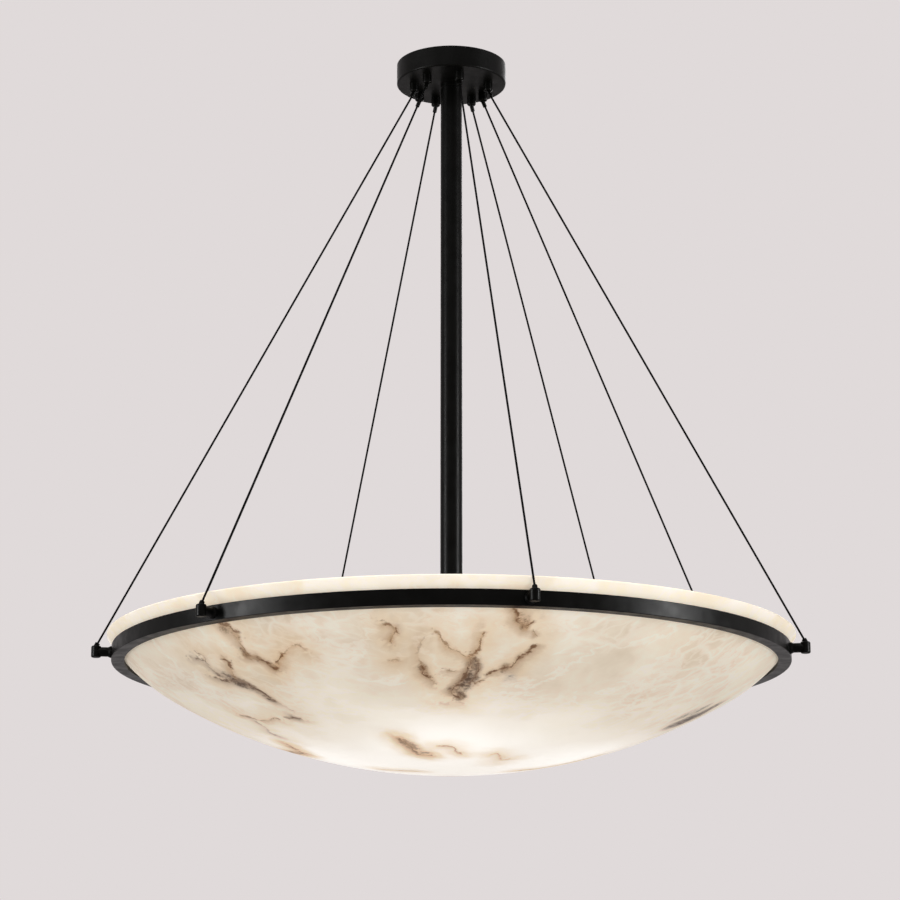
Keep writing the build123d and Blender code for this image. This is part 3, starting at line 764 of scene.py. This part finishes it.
# Veins, each as (ink, warmth, [(angle, radius in mm), ...]) on the bowl's face
FRONT_VEINS = (
    (0.6, 0.6, [(-131.2, 429), (-129.7, 425), (-129.4, 418), (-128.5, 416), (-129.6, 409),
                (-130.1, 401), (-130.3, 389)]),
    (1.0, 0.5, [(-131.1, 386), (-129.8, 384), (-128.7, 380), (-127.4, 370), (-127.3, 359)]),
    (0.85, 0.75, [(-127.3, 359), (-124.8, 371), (-123.2, 377), (-123.0, 383)]),
    (0.45, 1.0, [(-122.6, 383), (-119.1, 393), (-118.1, 392), (-117.3, 383)]),
    (0.55, 0.2, [(-145.1, 399), (-143.4, 396), (-142.1, 390), (-142.8, 380), (-143.3, 365)]),
    (0.5, 0.6, [(-142.0, 404), (-141.0, 398), (-141.6, 391)]),
    (0.7, 0.6, [(-137.4, 386), (-135.7, 387), (-137.1, 378), (-138.5, 365), (-139.5, 356)]),
    (0.95, 0.25, [(-145.1, 364), (-143.7, 355), (-140.6, 352), (-138.6, 343), (-137.9, 331),
                  (-137.2, 319), (-137.2, 302)]),
    (0.3, 0.5, [(-137.2, 302), (-136.4, 290), (-135.8, 277)]),
    (0.55, 0.6, [(-158.1, 294), (-155.9, 284), (-154.7, 272), (-150.0, 269), (-146.4, 271), (-145.8, 263)]),
    (0.6, 0.3, [(-142.4, 266), (-139.4, 263), (-137.5, 257)]),
    (0.4, 0.3, [(-156.8, 275), (-158.7, 259), (-163.3, 245), (-163.2, 236), (-161.5, 224)]),
    (0.6, 0.7, [(-101.2, 414), (-100.5, 411), (-99.6, 407), (-99.5, 401), (-100.4, 395),
                (-101.2, 393), (-100.7, 386)]),
    (0.4, 1.0, [(-102.3, 359), (-101.2, 358), (-100.2, 360)]),
    (0.35, 0.8, [(-94.8, 394), (-95.8, 379), (-96.4, 363), (-96.2, 348)]),
    (0.9, 0.5, [(-96.4, 346), (-95.5, 343), (-95.9, 334), (-94.9, 326), (-93.9, 314)]),
    (0.5, 0.9, [(-92.7, 403), (-91.6, 390), (-90.4, 378), (-88.2, 367), (-86.6, 363)]),
    (0.65, 0.8, [(-84.3, 402), (-84.9, 393), (-84.9, 381), (-85.9, 369), (-86.6, 363)]),
    (1.0, 0.4, [(-86.6, 363), (-86.0, 353), (-86.5, 339), (-87.5, 322), (-88.9, 309),
                (-90.2, 298), (-88.3, 284)]),
    (0.9, 0.3, [(-85.0, 354), (-84.6, 340), (-85.2, 324), (-86.0, 313)]),
    (0.5, 0.6, [(-91.4, 340), (-90.5, 338), (-89.4, 340)]),
    (0.6, 0.6, [(-83.0, 320), (-83.9, 318), (-84.8, 310)]),
    (0.3, 1.0, [(-93.4, 272), (-91.3, 269), (-89.4, 274), (-86.6, 270)]),
    (0.9, 0.5, [(-83.0, 331), (-81.1, 339), (-79.4, 345), (-77.9, 347), (-77.6, 356),
                (-76.9, 364), (-76.0, 373), (-74.9, 384)]),
    (0.8, 0.6, [(-79.9, 429), (-79.4, 424), (-79.4, 417), (-78.2, 413), (-77.3, 407),
                (-77.0, 413), (-76.6, 417)]),
    (0.7, 0.5, [(-75.9, 405), (-75.0, 397)]),
    (0.8, 0.8, [(-111.9, 183), (-111.8, 166), (-110.2, 149), (-112.3, 121), (-109.6, 112), (-103.8, 108)]),
    (0.5, 1.0, [(-97.1, 146), (-92.5, 147), (-88.7, 139), (-86.8, 122), (-81.7, 111)]),
    (0.5, 1.0, [(-64.3, 114), (-61.8, 124), (-46.7, 98), (-43.6, 106)]),
    (0.35, 1.0, [(-39.7, 82), (-47.8, 80)]),
    (0.5, 0.7, [(166, 100), (169, 72), (172, 46)]),
    (0.6, 0.6, [(22, 95), (25, 127), (19, 165), (13, 200)]),
    (0.75, 0.0, [(-6.0, 300), (1.0, 306), (1.6, 331), (-3.2, 345)]),
)
# Smudges, each as (ink, warmth, angle, radius in mm, reach in mm)
FRONT_BLOTS = (
    (0.6, 0.5, -131.3, 421, 12), (0.55, 0.7, -129.5, 414, 5), (1.0, 0.5, -130.6, 387, 7),
    (0.9, 0.5, -128.7, 380, 6), (0.8, 0.5, -127.5, 367, 6), (1.0, 0.6, -127.0, 362, 6),
    (0.5, 0.1, -143.6, 397, 8), (0.65, 0.6, -136.4, 386, 5), (0.55, 0.2, -142.9, 362, 9),
    (1.0, 0.15, -140.6, 352, 12), (0.8, 0.2, -138.8, 342, 8), (0.8, 0.2, -137.9, 331, 6),
    (0.9, 0.15, -137.8, 308, 8), (0.45, 0.3, -156.5, 286, 7), (0.75, 0.15, -139.4, 263, 9),
    (0.7, 0.1, -163.2, 236, 8), (0.5, 0.3, -99.5, 405, 10), (0.55, 0.7, -100.5, 391, 5),
    (1.0, 0.4, -95.7, 342, 8), (0.65, 0.6, -95.1, 328, 5), (0.75, 0.5, -86.1, 361, 7),
    (0.9, 0.3, -86.0, 346, 9), (1.0, 0.3, -86.9, 327, 10), (0.9, 0.35, -88.1, 311, 8),
    (0.9, 0.4, -89.7, 298, 8), (1.0, 0.4, -87.9, 288, 8), (0.8, 0.2, -84.7, 346, 6),
    (0.9, 0.2, -84.9, 323, 8), (0.7, 0.2, -85.9, 312, 6), (1.0, 0.4, -79.2, 345, 6),
    (0.9, 0.4, -77.0, 364, 5), (0.45, 0.1, -77.2, 329, 11), (0.65, 0.6, -75.9, 372, 4),
    (0.65, 0.6, -79.1, 423, 10), (0.75, 0.5, -77.4, 417, 7), (0.75, 0.6, -77.9, 411, 6),
    (0.55, 0.6, -75.5, 399, 4), (1.0, 0.6, -110.7, 148, 13), (0.7, 0.8, -111.5, 172, 9),
    (0.6, 0.9, -109.4, 116, 11), (0.6, 0.9, -103.0, 122, 11), (0.45, 1.0, -93.0, 140, 10),
    (0.5, 1.0, -84.0, 116, 10), (0.5, 1.0, -52.0, 106, 11), (0.8, 0.0, -4.0, 300, 18),
    (0.8, 0.0, -1.0, 314, 18), (0.8, 0.0, -2.0, 338, 16), (0.6, 0.0, -11.0, 306, 13),
    (0.6, 0.0, -8.0, 328, 13),
)
# Made-up veins of the far side: ranges of where they start, their steps in number and in mm, the drift of
# their heading in radians, and their ink, warmth and smudges
BACK_VEIN_COUNT = 15
BACK_VEIN_SEED = 11
BACK_START = (12, 196)
BACK_RADIUS = (110, 425)
BACK_STEP_COUNT = (3, 7)
BACK_STEP = (10, 26)
BACK_DRIFT = (-0.9, 0.9)
BACK_INK = (0.4, 1.0)
BACK_WARMTH = (0.1, 0.8)
BACK_BLOT_INK = (0.5, 1.0)
BACK_BLOT_REACH = (5, 13)


def vein_point(angle, radius):
    """Point of the bowl's face as seen along its axis, in metres."""
    turn = math.radians(angle)
    return Vector((radius * MM * math.cos(turn), radius * MM * math.sin(turn)))


def wandering_vein(draw):
    """A vein for the far side: short steps whose heading drifts."""
    angle = draw.uniform(*BACK_START)
    place = vein_point(angle, draw.uniform(*BACK_RADIUS))
    heading = draw.uniform(0, 2 * math.pi)
    points = [place]
    for _ in range(draw.randint(*BACK_STEP_COUNT)):
        heading += draw.uniform(*BACK_DRIFT)
        step = draw.uniform(*BACK_STEP) * MM
        ahead = points[-1] + Vector((math.cos(heading), math.sin(heading))) * step
        if ahead.length < BACK_RADIUS[1] * MM:
            points.append(ahead)
    return draw.uniform(*BACK_INK), draw.uniform(*BACK_WARMTH), points


back_draw = random.Random(BACK_VEIN_SEED)
veins = [(ink, warm, [vein_point(*p) for p in points]) for ink, warm, points in FRONT_VEINS]
blots = [(ink, warm, vein_point(angle, radius), reach * MM)
         for ink, warm, angle, radius, reach in FRONT_BLOTS]
for _ in range(BACK_VEIN_COUNT):
    ink, warm, points = wandering_vein(back_draw)
    veins.append((ink, warm, points))
    for point in points[1:]:
        blot_ink = ink * back_draw.uniform(*BACK_BLOT_INK)
        blots.append((blot_ink, warm, point, back_draw.uniform(*BACK_BLOT_REACH) * MM))

# Farthest that a vein is felt, and a distance that evens out the weights of veins near by, in metres
VEIN_REACH = 0.05
VEIN_SOFTEN = 0.002
# A line can cross a mesh edge only where the distances of the edge's ends add up to less than this many lengths
SIDE_FLIP = 1.15
# A smudge's width over its length, how many times its reach it ends at, and the most that one can cover
BLOT_STRETCH = 0.62
BLOT_END = 2.6
BLOT_MOST = 0.99


def near_box(points):
    """Box round a vein's points, with the reach of its halo."""
    reach = Vector((VEIN_REACH, VEIN_REACH))
    low = Vector((min(p.x for p in points), min(p.y for p in points))) - reach
    high = Vector((max(p.x for p in points), max(p.y for p in points))) + reach
    return low, high


vein_boxes = [(ink, warm, points, *near_box(points)) for ink, warm, points in veins]


def vein_distance(place, points):
    """Distance from a place to a vein's line, and 1 or -1 for the side of it."""
    best, side = VEIN_REACH, 1
    for a, b in zip(points, points[1:]):
        run, step = b - a, place - a
        share = max(0.0, min(1.0, step.dot(run) / run.length_squared))
        away = (step - run * share).length
        if away < best:
            best = away
            side = 1 if run.cross(step) > 0 else -1
    return best, side


def vein_at(place):
    """Distance to the nearest vein, the same with the side's sign, and the ink and warmth of those near by."""
    gap, signed, ink_sum, warm_sum, weight_sum = VEIN_REACH, VEIN_REACH, 0.0, 0.0, 0.0
    for ink, warm, points, low, high in vein_boxes:
        if low.x < place.x < high.x and low.y < place.y < high.y:
            away, side = vein_distance(place, points)
            if away < VEIN_REACH:
                weight = 1 / (away + VEIN_SOFTEN) ** 2
                if away < gap:
                    gap, signed = away, side * away
                ink_sum += ink * weight
                warm_sum += warm * weight
                weight_sum += weight
    if weight_sum == 0:
        return VEIN_REACH, VEIN_REACH, 0.0, 0.0
    return gap, signed, ink_sum / weight_sum, warm_sum / weight_sum


def blot_at(place):
    """Strength and warmth of the smudges at a place. A smudge is longer along the bowl's radius."""
    clear, warm_sum, weight_sum = 1.0, 0.0, 0.0
    outward_step = place.normalized()
    for ink, warm, centre, reach in blots:
        step = place - centre
        if step.length < reach * BLOT_END / BLOT_STRETCH:
            along = step.dot(outward_step)
            across_squared = max(0.0, step.length_squared - along**2)
            away = math.sqrt(across_squared + (along * BLOT_STRETCH) ** 2) / reach
            weight = ink * math.exp(-away**2)
            clear *= 1 - min(BLOT_MOST, weight)
            warm_sum += warm * weight
            weight_sum += weight
    return 1 - clear, warm_sum / weight_sum if weight_sum else 0.0


# Glow through the wall, painted on the bowl as emission and whiter colour: an even part, and a part that falls
# off with distance from the lamps
GLOW_EVEN = 0.17
GLOW_LAMPS = 0.63
# Extra painted glow on the lip above the ring
GLOW_RIM = 0.13
GLOW_INSIDE = 0.5
GLOW_RIM_Z = (-0.842, -0.826)
GLOW_NEAR = 0.1
GLOW_SPREAD = 0.11
GLOW_POWER = 0.8
lamp_centres = [on_radius(360 * k / LAMP_COUNT, LAMP_GLOBE_R, LAMP_Z) for k in range(LAMP_COUNT)]


def rim_at(point):
    """1 on the pale lip above the ring, 0 below it."""
    low, high = GLOW_RIM_Z
    return max(0.0, min(1.0, (point.z - low) / (high - low)))


def glow_at(point):
    """Light that the lamps send through the bowl's wall at a point, painted on the bowl as emission."""
    radius = math.hypot(point.x, point.y)
    on_crown = radius < crown_r * math.sin(crown_turn)
    level = Vector((point.x, point.y, 0)).normalized() if radius > 0 else Vector((0, 0, 0))
    centre = Vector((0, 0, crown_z)) if on_crown else level * flank_r + Vector((0, 0, flank_z))
    inward = (centre - point).normalized()
    arc_r = crown_r if on_crown else FLANK_R
    inside = (centre - point).length < arc_r - BOWL_WALL / 2
    light = 0.0
    for lamp in lamp_centres:
        step = lamp - point
        light += max(0.0, inward.dot(step.normalized())) * GLOW_NEAR**2 / (step.length**2 + GLOW_SPREAD**2)
    glow = GLOW_EVEN + GLOW_LAMPS * light**GLOW_POWER
    return (glow * GLOW_INSIDE if inside else glow) + GLOW_RIM * rim_at(point)


# Values stored on the bowl's points, for its paint
STORED = ("vein_gap", "vein_side", "vein_ink", "vein_warm", "blot", "blot_warm", "rim", "glow")
stored = {name: [] for name in STORED}
for vertex in bowl.data.vertices:
    place = Vector(vertex.co.xy)
    values = (*vein_at(place), *blot_at(place), rim_at(vertex.co), glow_at(vertex.co))
    for column, value in zip(stored.values(), values):
        column.append(value)
# The side also changes its sign midway between two veins, where no line runs: the paint draws none there
stored["vein_sure"] = [1.0] * len(bowl.data.vertices)
for edge in bowl.data.edges:
    a, b = edge.vertices
    flips = stored["vein_side"][a] * stored["vein_side"][b] < 0
    edge_length = (bowl.data.vertices[a].co - bowl.data.vertices[b].co).length
    if flips and stored["vein_gap"][a] + stored["vein_gap"][b] > edge_length * SIDE_FLIP:
        stored["vein_sure"][a] = stored["vein_sure"][b] = 0.0
for name, values in stored.items():
    bowl.data.attributes.new(name, "FLOAT", "POINT").data.foreach_set("value", values)
finish_piece(bowl, FIXTURE, "alabaster", "bowl")

# Stage: pale floor, pale world and soft lamps
BACKDROP = rgb(224, 218, 218)
FLOOR_Z = -4.5
FLOOR_R = 90.0
FLOOR_SIDES = 96
FLOOR_ROUGHNESS = 0.9
FLOOR_SHINE = 0.88
AMBIENT = 0.29
LAMP_AIM = Vector((0, 0, -0.6))
# Area lamps, each as its place, width, height and watts
STUDIO_LAMPS = {
    "box_left": ((-3.0, -1.1, -0.7), 0.8, 2.0, 29),
    "box_right": ((3.0, -1.1, -0.7), 0.8, 2.0, 22),
    "box_top": ((-0.8, -1.6, 2.4), 3.0, 3.0, 75),
    "box_back": ((0.6, 3.2, 0.8), 2.4, 2.0, 45),
    "box_front": ((0.7, -3.3, -1.0), 1.2, 1.2, 36),
    "strip_left": ((-3.0, -1.3, -0.7), 0.5, 2.0, 170),
    "strip_right": ((3.0, -1.0, -0.7), 0.5, 2.0, 205),
}
# Lamps that leave no highlight, and strips that leave only the long highlights on the black paint
NO_GLOSS = ("box_front",)
ONLY_GLOSS = ("strip_left", "strip_right")

for name, (place, width, height, watts) in STUDIO_LAMPS.items():
    lamp_data = bpy.data.lights.new(name, "AREA")
    lamp_data.shape = "RECTANGLE"
    lamp_data.size = width
    lamp_data.size_y = height
    lamp_data.energy = watts
    lamp = add_object(name, lamp_data)
    lamp.location = place
    lamp.rotation_euler = (LAMP_AIM - Vector(place)).to_track_quat("-Z", "Y").to_euler()
    lamp.visible_glossy = name not in NO_GLOSS
    lamp.visible_diffuse = name not in ONLY_GLOSS


def seen_rays(tree):
    """1 for rays from the camera, from gloss and through glass, 0 for the light that falls on things."""
    path = tree.nodes.new("ShaderNodeLightPath")
    total = path.outputs["Is Camera Ray"]
    for kind in ("Is Glossy Ray", "Is Transmission Ray"):
        either = tree.nodes.new("ShaderNodeMath")
        either.operation = "MAXIMUM"
        tree.links.new(total, either.inputs[0])
        tree.links.new(path.outputs[kind], either.inputs[1])
        total = either.outputs[0]
    return total


def mix_to_output(tree, share, low, high, output):
    """Sends a mix of two shader nodes to a tree's output: low at share 0, high at share 1."""
    choose = tree.nodes.new("ShaderNodeMixShader")
    for source, socket in zip((share, low.outputs[0], high.outputs[0]), choose.inputs):
        tree.links.new(source, socket)
    tree.links.new(choose.outputs[0], tree.nodes[output].inputs["Surface"])


world = bpy.data.worlds.new("pale_studio")
world.use_nodes = True
scene.world = world
tree = world.node_tree
unseen = tree.nodes["Background"]
unseen.inputs["Color"].default_value = (1, 1, 1, 1)
unseen.inputs["Strength"].default_value = AMBIENT
shown = tree.nodes.new("ShaderNodeBackground")
shown.inputs["Color"].default_value = BACKDROP
mix_to_output(tree, seen_rays(tree), unseen, shown, "World Output")

floor_points = [on_radius(360 * k / FLOOR_SIDES, FLOOR_R, FLOOR_Z) for k in range(FLOOR_SIDES)]
floor = add_mesh("floor", floor_points, [tuple(range(FLOOR_SIDES))])
floor_paint = bpy.data.materials.new("pale_floor")
floor_paint.use_nodes = True
tree = floor_paint.node_tree
matt = tree.nodes["Principled BSDF"]
matt.inputs["Base Color"].default_value = BACKDROP
matt.inputs["Roughness"].default_value = FLOOR_ROUGHNESS
pale = tree.nodes.new("ShaderNodeEmission")
pale.inputs["Color"].default_value = BACKDROP
share = tree.nodes.new("ShaderNodeMath")
share.operation = "MULTIPLY"
tree.links.new(seen_rays(tree), share.inputs[0])
share.inputs[1].default_value = FLOOR_SHINE
mix_to_output(tree, share.outputs[0], matt, pale, "Material Output")
floor.data.materials.append(floor_paint)
